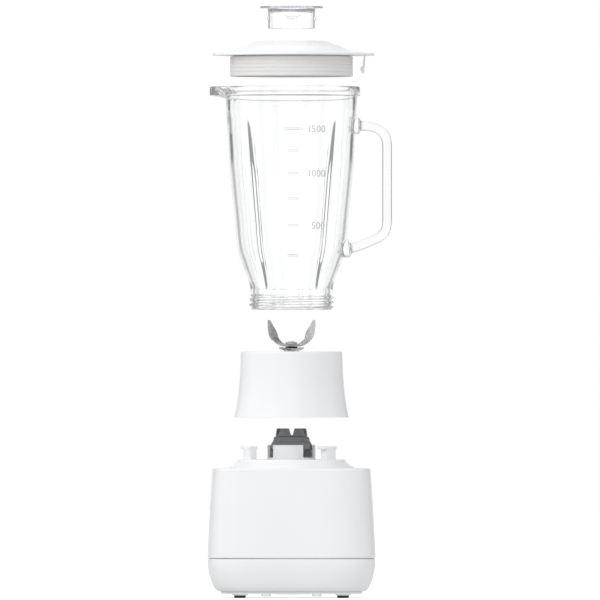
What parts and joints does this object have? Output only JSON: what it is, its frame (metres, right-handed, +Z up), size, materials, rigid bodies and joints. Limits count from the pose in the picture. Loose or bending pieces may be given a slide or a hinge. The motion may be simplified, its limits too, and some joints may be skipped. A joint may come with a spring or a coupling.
{
  "type": "countertop blender",
  "caption": "Countertop blender taken apart along its axis: motor base, blade unit, glass jug with handle and spout, lid with gasket, and measuring cap.",
  "frame": {"origin": "on the motor axis, in the middle of the flat pad on the underside of the motor base; the rubber feet reach 3 mm lower", "axes": "+Z up along the motor shaft, +X to the side of the jug handle, -X to the side of the spout, -Y to the plain front of the motor base"},
  "size_m": [0.1899, 0.1875, 0.6087],
  "materials": {
    "white_plastic": "satin white moulding",
    "clear_glass": "clear pressed glass",
    "clear_plastic": "clear moulding with a faint blue cast",
    "grey_silicone": "soft translucent grey",
    "dark_plastic": "fine matt",
    "black_rubber": "matt",
    "polished_steel": "polished stainless steel",
    "plain_steel": "plain",
    "lamination_steel": "stacked sheet steel",
    "enamelled_copper": "enamelled copper wire",
    "brass": "plain",
    "bronze": "sintered bronze",
    "carbon": "pressed carbon",
    "circuit_board": "solder-masked board",
    "capacitor_case": "moulded case"
  },
  "bodies": {
    "motor_base": {"base_screw_1": "plain_steel", "base_screw_2": "plain_steel", "base_screw_3": "plain_steel", "base_screw_4": "plain_steel", "bottom_cover": "white_plastic", "brush_holder_left": "brass", "brush_holder_right": "brass", "brush_spring_left": "plain_steel", "brush_spring_right": "plain_steel", "carbon_brush_left": "carbon", "carbon_brush_right": "carbon", "cord_gland": "black_rubber", "field_coil_back": "enamelled_copper", "field_coil_front": "enamelled_copper", "jug_seat": "white_plastic", "lower_bearing": "plain_steel", "lower_housing": "white_plastic", "motor_damper_1": "black_rubber", "motor_damper_2": "black_rubber", "motor_damper_3": "black_rubber", "motor_lower_bracket": "lamination_steel", "motor_upper_bracket": "lamination_steel", "rotary_switch": "dark_plastic", "rubber_foot_1": "black_rubber", "rubber_foot_2": "black_rubber", "rubber_foot_3": "black_rubber", "rubber_foot_4": "black_rubber", "shaft_slinger": "grey_silicone", "speed_board": "circuit_board", "stator_core": "lamination_steel", "suppressor_capacitor": "capacitor_case", "terminal_block": "white_plastic", "thermal_cutout": "plain_steel", "tie_bolt_left": "plain_steel", "tie_bolt_right": "plain_steel", "upper_bearing": "plain_steel", "upper_housing": "white_plastic"},
    "rotor": {"motor_shaft": "plain_steel", "armature_core": "lamination_steel", "armature_winding_upper": "enamelled_copper", "armature_winding_lower": "enamelled_copper", "commutator": "enamelled_copper", "cooling_fan": "dark_plastic", "drive_coupling": "dark_plastic"},
    "knob": {"control_knob": "white_plastic"},
    "blade_base_body": {"blade_base": "white_plastic", "jug_seal": "grey_silicone", "blade_bearing": "bronze", "blade_shaft_seal": "black_rubber"},
    "blades": {"blade_shaft": "polished_steel", "driven_coupling": "dark_plastic", "blade_washer": "polished_steel", "lower_blade": "polished_steel", "blade_spacer": "black_rubber", "upper_blade": "polished_steel", "blade_nut": "polished_steel"},
    "jug": {"glass_jug": "clear_glass"},
    "lid_body": {"lid": "white_plastic", "lid_gasket": "grey_silicone"},
    "cap": {"measuring_cap": "clear_plastic"}
  },
  "joints": [
    {"name": "motor_spin", "type": "hinge", "parent": "motor_base", "child": "rotor", "pos_m": [0, 0, 0.069], "axis": [0, 0, 1], "continuous": true},
    {"name": "blade_base_lift", "type": "slide", "parent": "motor_base", "child": "blade_base_body", "axis": [0, 0, 1], "range_m": [-0.0455, 0]},
    {"name": "jug_lift", "type": "slide", "parent": "blade_base_body", "child": "jug", "axis": [0, 0, 1], "range_m": [-0.0586, 0]},
    {"name": "lid_lift", "type": "slide", "parent": "jug", "child": "lid_body", "axis": [0, 0, 1], "range_m": [-0.0315, 0]},
    {"name": "cap_lift", "type": "slide", "parent": "lid_body", "child": "cap", "axis": [0, 0, 1], "range_m": [-0.0332, 0]},
    {"name": "blade_spin", "type": "hinge", "parent": "blade_base_body", "child": "blades", "pos_m": [0, 0, 0.2355], "axis": [0, 0, 1], "continuous": true},
    {"name": "knob_turn", "type": "hinge", "parent": "motor_base", "child": "knob", "pos_m": [0, 0.086, 0.08], "axis": [0, 1, 0], "range_deg": [-40, 80]}
  ],
  "couplings": [
    {"joint": "blade_spin", "follows": "motor_spin", "ratio": 1}
  ]
}
